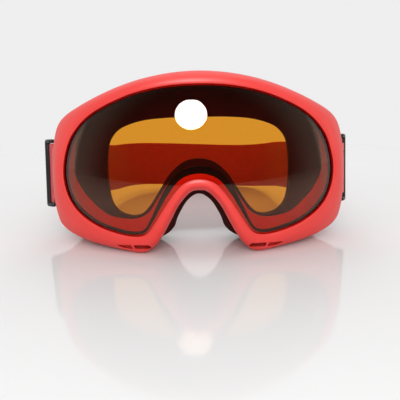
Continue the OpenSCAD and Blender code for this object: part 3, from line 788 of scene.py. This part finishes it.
def make_rib_weave():
    """Woven ribs over a UV map in metres: cords along the strap, crossed by finer picks half a step apart."""
    tree, ins, outs = group_with("rib weave", {"Cord": 0.0012, "Pick": 0.0009})
    parts = tree.nodes.new("ShaderNodeSeparateXYZ")
    tree.links.new(ins.outputs["Vector"], parts.inputs[0])
    cord = maths(tree, "DIVIDE", parts.outputs[0], ins.outputs["Cord"])
    pick = maths(tree, "DIVIDE", parts.outputs[1], ins.outputs["Pick"])
    shifted = maths(tree, "ADD", pick, maths(tree, "MULTIPLY", maths(tree, "FLOOR", cord), 0.5))
    across = maths(tree, "ABSOLUTE", maths(tree, "SINE", maths(tree, "MULTIPLY", cord, math.pi)))
    along = maths(tree, "ABSOLUTE", maths(tree, "SINE", maths(tree, "MULTIPLY", shifted, math.pi)))
    height = maths(tree, "MULTIPLY", maths(tree, "SQRT", across), maths(tree, "SQRT", along))
    tree.links.new(height, outs.inputs["Height"])
    tree.links.new(noise(tree, ins.outputs["Vector"], WEAVE_CLOUD, detail=3.0), outs.inputs["Tone"])
    return tree


MOULDED_GRAIN = make_moulded_grain()
FOAM_CELLS = make_foam_cells()
RIB_WEAVE = make_rib_weave()


def surface(name, effect, values, dark, light, rough, bump, coordinates="Object", **settings):
    """A Principled material over one effect group.

    Tone mixes the dark and the light colour and the two ends of rough; Height drives a bump whose depth
    is bump, in metres. settings are values for the shader's own sockets.
    """
    mat = bpy.data.materials.new(name)
    mat.use_nodes = True
    tree = mat.node_tree
    shader = tree.nodes["Principled BSDF"]
    for label, value in settings.items():
        shader.inputs[label.replace("_", " ")].default_value = value
    place = tree.nodes.new("ShaderNodeTexCoord")
    group = tree.nodes.new("ShaderNodeGroup")
    group.node_tree = effect
    tree.links.new(place.outputs[coordinates], group.inputs["Vector"])
    for label, value in values.items():
        group.inputs[label].default_value = value
    tone = tree.nodes.new("ShaderNodeMapRange")
    tone.inputs["From Min"].default_value, tone.inputs["From Max"].default_value = TONE_SPAN
    tree.links.new(group.outputs["Tone"], tone.inputs["Value"])
    colour = tree.nodes.new("ShaderNodeMix")
    colour.data_type = "RGBA"
    colour.inputs["A"].default_value, colour.inputs["B"].default_value = (*dark, 1), (*light, 1)
    tree.links.new(tone.outputs[0], colour.inputs["Factor"])
    tree.links.new(colour.outputs["Result"], shader.inputs["Base Color"])
    gloss = tree.nodes.new("ShaderNodeMapRange")
    gloss.inputs["To Min"].default_value, gloss.inputs["To Max"].default_value = rough
    tree.links.new(tone.outputs[0], gloss.inputs["Value"])
    tree.links.new(gloss.outputs[0], shader.inputs["Roughness"])
    relief = tree.nodes.new("ShaderNodeBump")
    relief.inputs["Distance"].default_value = bump
    tree.links.new(group.outputs["Height"], relief.inputs["Height"])
    tree.links.new(relief.outputs[0], shader.inputs["Normal"])
    return mat


def clear_plastic(name, tint, shadow_tint, ior, rough):
    """See-through plastic: refracting for what is seen, and plainly tinted for the light that passes it."""
    mat = bpy.data.materials.new(name)
    mat.use_nodes = True
    tree = mat.node_tree
    shader, out = tree.nodes["Principled BSDF"], tree.nodes["Material Output"]
    shader.inputs["Base Color"].default_value = (*tint, 1)
    shader.inputs["Transmission Weight"].default_value = 1
    shader.inputs["Roughness"].default_value = rough
    shader.inputs["IOR"].default_value = ior
    pass_through = tree.nodes.new("ShaderNodeBsdfTransparent")
    pass_through.inputs["Color"].default_value = (*shadow_tint, 1)
    path = tree.nodes.new("ShaderNodeLightPath")
    seen = shader.outputs[0]
    for ray in ("Is Shadow Ray", "Is Diffuse Ray"):
        mix = tree.nodes.new("ShaderNodeMixShader")
        tree.links.new(path.outputs[ray], mix.inputs[0])
        tree.links.new(seen, mix.inputs[1])
        tree.links.new(pass_through.outputs[0], mix.inputs[2])
        seen = mix.outputs[0]
    tree.links.new(seen, out.inputs["Surface"])
    return mat


CORAL_RUBBER = surface("coral_rubber", MOULDED_GRAIN, {"Grain": 1500.0, "Cloud": 40.0},
                       (0.78, 0.040, 0.033), (0.83, 0.054, 0.046), (0.36, 0.46), 0.03 * MM,
                       Subsurface_Weight=0.08, Subsurface_Scale=0.004)
ARM_PLASTIC = surface("arm_plastic", MOULDED_GRAIN, {"Grain": 2200.0, "Cloud": 70.0},
                      (0.50, 0.07, 0.075), (0.58, 0.09, 0.095), (0.38, 0.5), 0.02 * MM)
CLIP_PLASTIC = surface("clip_plastic", MOULDED_GRAIN, {"Grain": 2600.0, "Cloud": 80.0},
                       (0.012, 0.011, 0.012), (0.024, 0.021, 0.023), (0.3, 0.42), 0.02 * MM)
PIN_STEEL = surface("pin_steel", MOULDED_GRAIN, {"Grain": 4000.0, "Cloud": 200.0},
                    (0.50, 0.50, 0.52), (0.60, 0.60, 0.62), (0.22, 0.34), 0.01 * MM, Metallic=1.0)
SPACER_FOAM = surface("spacer_foam", FOAM_CELLS, {"Cells": 2500.0, "Cloud": 90.0},
                      (0.006, 0.004, 0.004), (0.012, 0.008, 0.008), (0.8, 0.95), 0.08 * MM,
                      Specular_IOR_Level=FOAM_GLOSS)
# The vent, firm and soft foams are dark brown of their own, but their reddish cast is painted light: the tint
# of the light that reaches them through the orange lens and off the red frame.
VENT_FOAM_PAINTED_TINT = surface("vent_foam", FOAM_CELLS, {"Cells": 900.0, "Cloud": 80.0},
                    (0.018, 0.009, 0.009), (0.050, 0.024, 0.022), (0.85, 0.98), 0.4 * MM,
                    Specular_IOR_Level=FOAM_GLOSS)
FIRM_FOAM_PAINTED_TINT = surface("firm_foam", FOAM_CELLS, {"Cells": 1900.0, "Cloud": 60.0},
                    (0.046, 0.014, 0.012), (0.088, 0.029, 0.026), (0.85, 0.97), 0.18 * MM,
                    Specular_IOR_Level=FOAM_GLOSS)
SOFT_FOAM_PAINTED_TINT = surface("soft_foam", FOAM_CELLS, {"Cells": 1300.0, "Cloud": 60.0},
                    (0.056, 0.019, 0.017), (0.108, 0.038, 0.033), (0.88, 0.98), 0.25 * MM,
                    Specular_IOR_Level=FOAM_GLOSS)
FLEECE = surface("fleece", FOAM_CELLS, {"Cells": 2600.0, "Cloud": 120.0},
                 (0.016, 0.014, 0.014), (0.05, 0.044, 0.043), (0.9, 1.0), 0.3 * MM,
                 Sheen_Weight=0.2, Specular_IOR_Level=FOAM_GLOSS)
WEBBING = surface("elastic_webbing", RIB_WEAVE, {}, (0.44, 0.006, 0.008), (0.55, 0.010, 0.012),
                  (0.62, 0.78), 0.25 * MM, "UV", Sheen_Weight=0.15)
THREAD = surface("hem_thread", MOULDED_GRAIN, {"Grain": 3000.0, "Cloud": 300.0},
                 (0.34, 0.010, 0.010), (0.50, 0.018, 0.015), (0.5, 0.65), 0.05 * MM)
ORANGE_LENS = clear_plastic("orange_lens", (0.86, 0.36, 0.030), (0.80, 0.34, 0.04), 1.5, 0.0)
CLEAR_LENS = clear_plastic("clear_lens", (0.97, 0.95, 0.90), (0.95, 0.93, 0.88), 1.03, 0.0)


# Pieces on their bodies

ARM_EDGE = 0.4 * MM
CLIP_EDGE = 1.0 * MM
CLIP_EDGE_STEPS = 4
PIN_EDGE = 0.15 * MM
SLIDER_EDGE = 0.4 * MM


def dress(obj, material, body, *nodes):
    """Gives a piece its material, lets it ride on a body and stand for CAD nodes."""
    obj.data.materials.clear()
    obj.data.materials.append(material)
    if body:
        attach(obj, body)
    if nodes:
        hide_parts(*nodes)
    return obj


dress(make_frame(), CORAL_RUBBER, "goggles", "frame")
dress(lens_shell("tinted_lens", inset(LENS_LINE, -LENS_SEAT), 0, LENS_T),
      ORANGE_LENS, "goggles", "outer_lens")
dress(lens_shell("inner_pane", SPACER_LINE, INNER_FRONT, INNER_FRONT + INNER_LENS_T),
      CLEAR_LENS, "goggles", "inner_lens")
dress(make_spacer(), SPACER_FOAM, "goggles", "lens_spacer")

firm = dress(foam_layer("firm_foam_layer", FOAM_GAP, FIRM_BACK, 0, 0, FIRM_BULGE, FIRM_ROUND),
             FIRM_FOAM_PAINTED_TINT, "goggles", "face_foam_base")
soft = dress(foam_layer("soft_foam_layer", SOFT_FRONT, SOFT_BACK, 0, SOFT_DRAW, SOFT_BULGE, SOFT_ROUND),
             SOFT_FOAM_PAINTED_TINT, "goggles", "face_foam_soft")
fleece = dress(foam_layer("fleece_layer", FLEECE_FRONT, FLEECE_BACK, SOFT_DRAW, FLEECE_DRAW, 0, FLEECE_ROUND),
               FLEECE, "goggles", "face_fleece")
strips = [dress(vent_strip("top_vent_strip", TOP_STRIP, TOP_STRIP_SPAN, TOP_STRIP_T),
                VENT_FOAM_PAINTED_TINT, "goggles", "top_vent_foam")]
for side, label in NAME.items():
    strip = vent_strip(f"{label}_vent_strip", LOWER_STRIP, LOWER_STRIP_SPAN, LOWER_STRIP_T, side)
    strips.append(dress(strip, VENT_FOAM_PAINTED_TINT, "goggles", f"{label}_lower_vent_foam"))

for side, label in NAME.items():
    outrigger, slider = f"{label}_outrigger", f"{label}_slider"
    arm, clip, pin = f"{label}_outrigger_arm", f"{label}_strap_clip", f"{label}_hinge_pin"
    dress(softened(arm, ARM_EDGE), ARM_PLASTIC, outrigger, arm)
    dress(softened(clip, CLIP_EDGE, segments=CLIP_EDGE_STEPS), CLIP_PLASTIC, outrigger, clip)
    dress(softened(pin, PIN_EDGE), PIN_STEEL, "goggles", pin)
    dress(softened(slider, SLIDER_EDGE), CLIP_PLASTIC, slider, slider)
    turn, turn_l = strap_end(side, turn_run(side), "strap_turn", TURN_STATIONS, TURN_WEAVE_AT)
    dress(turn, WEBBING, None, "strap")
    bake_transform(turn)
    tail, tail_l = strap_end(side, tail_run(side), "strap_tail", TAIL_STATIONS, TAIL_WEAVE_AT)
    dress(tail, WEBBING, None, "strap")
    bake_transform(tail)
    stitches = dress(hem_stitches(side), THREAD, slider)
middle, middle_l = strap_middle()
dress(middle, WEBBING, "goggles", "strap")


# Stage: floor, world, lamps and camera

TABLE_REAR = 0.43
TABLE_FRONT = -0.6
TABLE_T = 0.05
TABLE_HALF_L = 3.0
TABLE_ROUND = 0.006
TABLE_CREASE = 60
TABLE_WHITE = surface("table_white", MOULDED_GRAIN, {"Grain": 300.0, "Cloud": 4.0},
                      (0.79, 0.79, 0.79), (0.81, 0.81, 0.81), (0.07, 0.09), 0.0, Specular_IOR_Level=0.35)


def make_table():
    """A wide pale table top: a flat profile with a rounded rear edge, run from side to side."""
    edge = arc((TABLE_REAR - TABLE_ROUND, -TABLE_ROUND), TABLE_ROUND, 90, 0, 9)
    profile = np.vstack([[[TABLE_FRONT, 0], [0, 0]], edge, [[TABLE_REAR, -TABLE_T], [TABLE_FRONT, -TABLE_T]]])
    x = np.array([-1, -0.2, 0.2, 1])[:, None] * TABLE_HALF_L
    rows = np.stack(np.broadcast_arrays(x, profile[:, 0], profile[:, 1]), axis=-1)
    count, n = rows.shape[:2]
    caps = [list(range(n)), list(range((count - 1) * n, count * n))]
    obj = new_piece("table_top", rows, grid_faces(count, n, False, True) + caps, TABLE_CREASE)
    obj.data.materials.append(TABLE_WHITE)
    return obj


def make_world(seen, ambient, front, flank, front_slope, front_edge):
    """Plain studio: one pale level for what is seen, one for soft light, and one for reflections.

    Reflections see the pale level all round, but on the camera's side it falls steeply to flank across
    front_edge and on, slowly, to front across front_slope; both are ranges of the direction's y.
    """
    world = bpy.data.worlds.new("studio")
    bpy.context.scene.world = world
    world.use_nodes = True
    tree = world.node_tree
    sky = tree.nodes["Background"]
    path = tree.nodes.new("ShaderNodeLightPath")
    place = tree.nodes.new("ShaderNodeTexCoord")
    parts = tree.nodes.new("ShaderNodeSeparateXYZ")
    tree.links.new(place.outputs["Generated"], parts.inputs[0])
    ramps = []
    for span, rise in ((front_slope, flank - front), (front_edge, seen - flank)):
        ramp = tree.nodes.new("ShaderNodeMapRange")
        ramp.interpolation_type = "SMOOTHSTEP"
        ramp.inputs["From Min"].default_value, ramp.inputs["From Max"].default_value = span
        ramp.inputs["To Max"].default_value = rise
        tree.links.new(parts.outputs[1], ramp.inputs["Value"])
        ramps.append(ramp.outputs[0])
    mirrored = maths(tree, "ADD", front, maths(tree, "ADD", *ramps))
    bounced = maths(tree, "GREATER_THAN", path.outputs["Glossy Depth"], 0.5)
    direct = maths(tree, "SUBTRACT", 1.0, bounced)
    straight = maths(tree, "MULTIPLY", path.outputs["Is Transmission Ray"], direct)
    plain = maths(tree, "MAXIMUM", path.outputs["Is Camera Ray"], straight)
    level = maths(tree, "ADD", ambient, maths(tree, "MULTIPLY", plain, seen - ambient))
    shiny = maths(tree, "MAXIMUM", path.outputs["Is Glossy Ray"], bounced)
    gloss = maths(tree, "MULTIPLY", shiny, maths(tree, "SUBTRACT", 1.0, plain))
    change = maths(tree, "MULTIPLY", gloss, maths(tree, "SUBTRACT", mirrored, level))
    tree.links.new(maths(tree, "ADD", level, change), sky.inputs["Strength"])
    sky.inputs["Color"].default_value = (1, 1, 1, 1)


def add_lamp(name, place, target, size, power, lights=True, mirrored=True):
    """A round soft lamp at a place, turned to a target.

    It may light surfaces, be mirrored in them, or both.
    """
    lamp = bpy.data.lights.new(name, "AREA")
    lamp.shape, lamp.size, lamp.energy = "DISK", size, power
    obj = bpy.data.objects.new(name, lamp)
    bpy.context.collection.objects.link(obj)
    place, target = np.array(place), np.array(target)
    back = unit(place - target)
    side = unit(np.cross(UP, back))
    turn = np.eye(4)
    turn[:3, :3] = np.stack([side, np.cross(back, side), back], axis=1)
    turn[:3, 3] = place
    obj.matrix_world = turn.T.tolist()
    obj.visible_diffuse = lights
    obj.visible_glossy = obj.visible_transmission = mirrored
    return obj


def keep_off(lamp, obj):
    """Lets a lamp reach everything but one object."""
    left_out = bpy.data.collections.new("left out")
    left_out.objects.link(obj)
    left_out.collection_objects[0].light_linking.link_state = "EXCLUDE"
    lamp.light_linking.receiver_collection = left_out


table = make_table()
make_world(seen=0.86, ambient=0.68, front=0.04, flank=0.34,
           front_slope=(-0.55, -0.08), front_edge=(-0.08, -0.02))
highlight = add_lamp("highlight", place=(-0.042, -0.442, 0.474), target=(0, 0.01, 0.075),
                     size=0.225, power=3.6, lights=False)
keep_off(highlight, table)
add_lamp("front_fill", place=(0, -0.8, 0.4), target=(0, 0, 0.05), size=0.6, power=4.8, mirrored=False)
add_lamp("top", place=(0, 0.25, 0.9), target=(0, 0.1, 0.03), size=0.9, power=1.0)
add_lamp("rear_fill", place=(0, 1, 0.62), target=(0, 0.05, 0), size=0.8, power=3.5, mirrored=False)

CAMERA_PLACE = (-0.0026, -0.32675, 0.10858)
CAMERA_YAW = math.radians(0.5)
CAMERA_PITCH = math.radians(12.95)
CAMERA_ROLL = math.radians(-1.05)
CAMERA_LENS = 55.04
SENSOR_W = 36
VIEW_RANGE = (0.01, 100)


def make_camera():
    """Camera from its place, yaw to the right, pitch downwards and roll about its view."""
    data = bpy.data.cameras.new("photo")
    data.lens, data.sensor_width = CAMERA_LENS, SENSOR_W
    data.clip_start, data.clip_end = VIEW_RANGE
    obj = bpy.data.objects.new("photo", data)
    bpy.context.collection.objects.link(obj)
    ahead = np.array([math.sin(CAMERA_YAW) * math.cos(CAMERA_PITCH),
                      math.cos(CAMERA_YAW) * math.cos(CAMERA_PITCH), -math.sin(CAMERA_PITCH)])
    right = np.array([math.cos(CAMERA_YAW), -math.sin(CAMERA_YAW), 0])
    top = np.cross(right, ahead)
    c, s = math.cos(CAMERA_ROLL), math.sin(CAMERA_ROLL)
    turn = np.eye(4)
    turn[:3, :3] = np.stack([right * c + top * s, top * c - right * s, -ahead], axis=1)
    turn[:3, 3] = CAMERA_PLACE
    obj.matrix_world = turn.T.tolist()
    bpy.context.scene.camera = obj


make_camera()
bpy.context.scene.view_settings.view_transform = "Standard"
